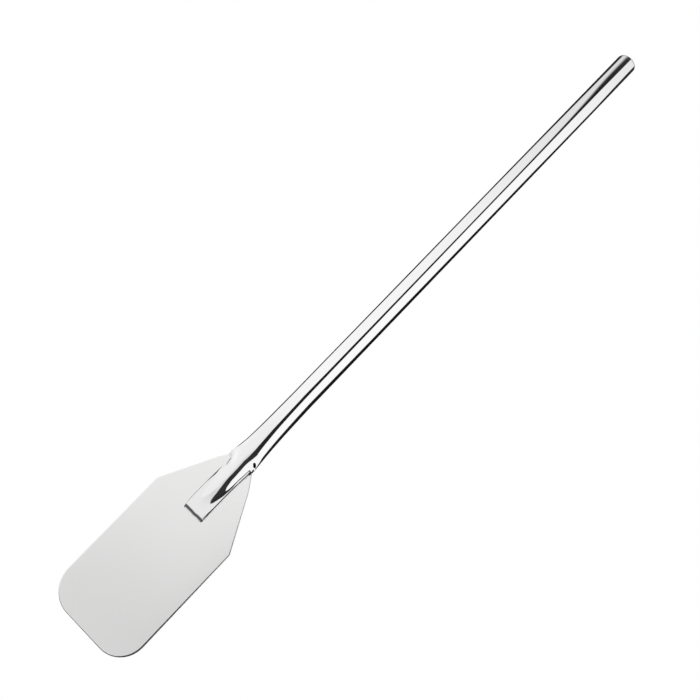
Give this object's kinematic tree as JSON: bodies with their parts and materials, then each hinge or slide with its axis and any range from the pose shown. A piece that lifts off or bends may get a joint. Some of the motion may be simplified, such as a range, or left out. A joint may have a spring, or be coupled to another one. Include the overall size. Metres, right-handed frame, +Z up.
{
  "type": "mixing paddle",
  "caption": "Long hand-held stirring paddle: a round steel tube handle pressed flat onto a sheet blade with sloping shoulders and rounded corners.",
  "frame": {"origin": "middle of the paddle's outline on the surface it lies on", "axes": "+X along the handle, from the blade towards the free end; +Z up, square to the blade's face; +Y across the blade"},
  "size_m": [0.9144, 0.1152, 0.0254],
  "materials": {
    "polished_steel": "mirror-polished stainless steel",
    "satin_steel": "fine satin stainless steel sheet"
  },
  "bodies": {
    "root": {"handle_tube": "polished_steel", "end_cap": "polished_steel", "cap_weld": "polished_steel", "blade": "satin_steel", "spot_welds": "satin_steel"}
  },
  "joints": []
}
